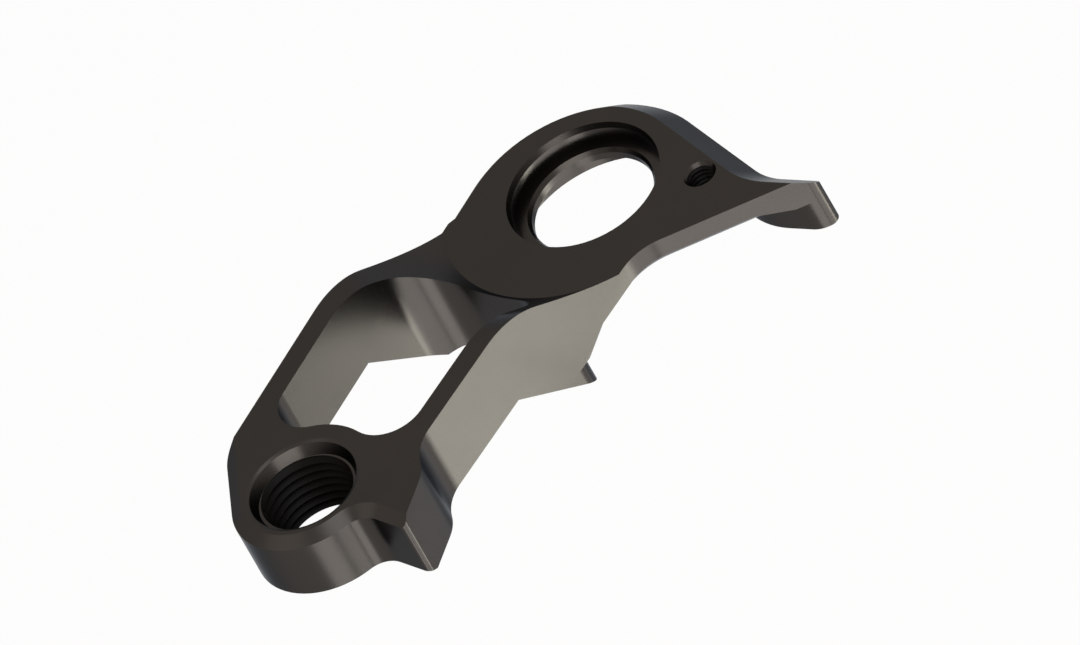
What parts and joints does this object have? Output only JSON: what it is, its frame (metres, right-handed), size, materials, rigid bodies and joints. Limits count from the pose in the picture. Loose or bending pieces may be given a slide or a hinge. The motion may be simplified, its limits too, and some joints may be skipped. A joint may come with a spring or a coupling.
{
  "type": "bicycle derailleur hanger",
  "caption": "Machined derailleur hanger: a flange round the axle bore, two legs with a window between them, and a raised boss with the derailleur's threaded hole.",
  "frame": {"origin": "on the axle bore's axis, at the flange's inboard face, which seats against the frame's dropout", "axes": "+Z outboard along the axle bore's axis, towards the derailleur; +X forwards on the bicycle; +Y up"},
  "size_m": [0.0653, 0.0525, 0.0165],
  "materials": {
    "anodised_aluminium": "dark anodised, satin"
  },
  "bodies": {
    "root": {"hanger": "anodised_aluminium"}
  },
  "joints": []
}
